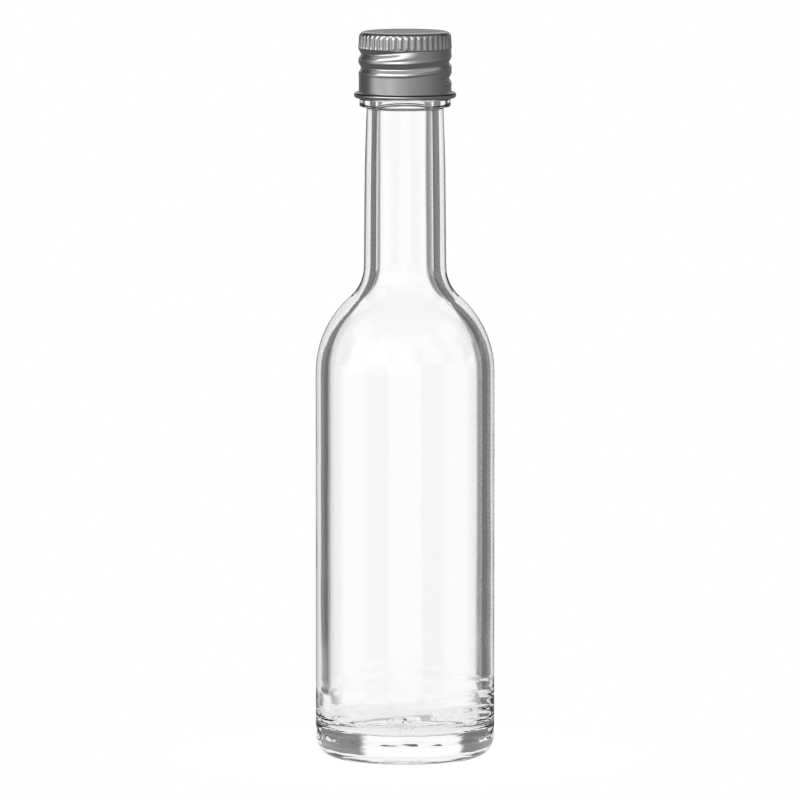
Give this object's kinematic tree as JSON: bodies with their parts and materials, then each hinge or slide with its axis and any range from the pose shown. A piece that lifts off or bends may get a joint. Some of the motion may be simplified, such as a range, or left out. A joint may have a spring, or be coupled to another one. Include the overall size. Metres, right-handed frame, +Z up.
{
  "type": "small glass bottle with screw cap",
  "caption": "Small clear glass bottle with a straight cylindrical body, rounded shoulder, long neck and a fluted metal screw cap.",
  "frame": {"origin": "middle of the foot, on the surface that the bottle stands on", "axes": "+Z up along the bottle's axis, towards the cap; the camera of the reference view looks along +Y"},
  "size_m": [0.0352, 0.0352, 0.1434],
  "materials": {
    "clear_glass": "clear flint glass, fire polished, very slightly wavy inside",
    "cap_metal": "bare rolled aluminium sheet, satin, fluted grip, rolled thread and curled hem",
    "disc_foam": "white polyethylene foam, matt"
  },
  "bodies": {
    "root": {"bottle": "clear_glass", "cap": "cap_metal", "sealing_disc": "disc_foam"}
  },
  "joints": []
}
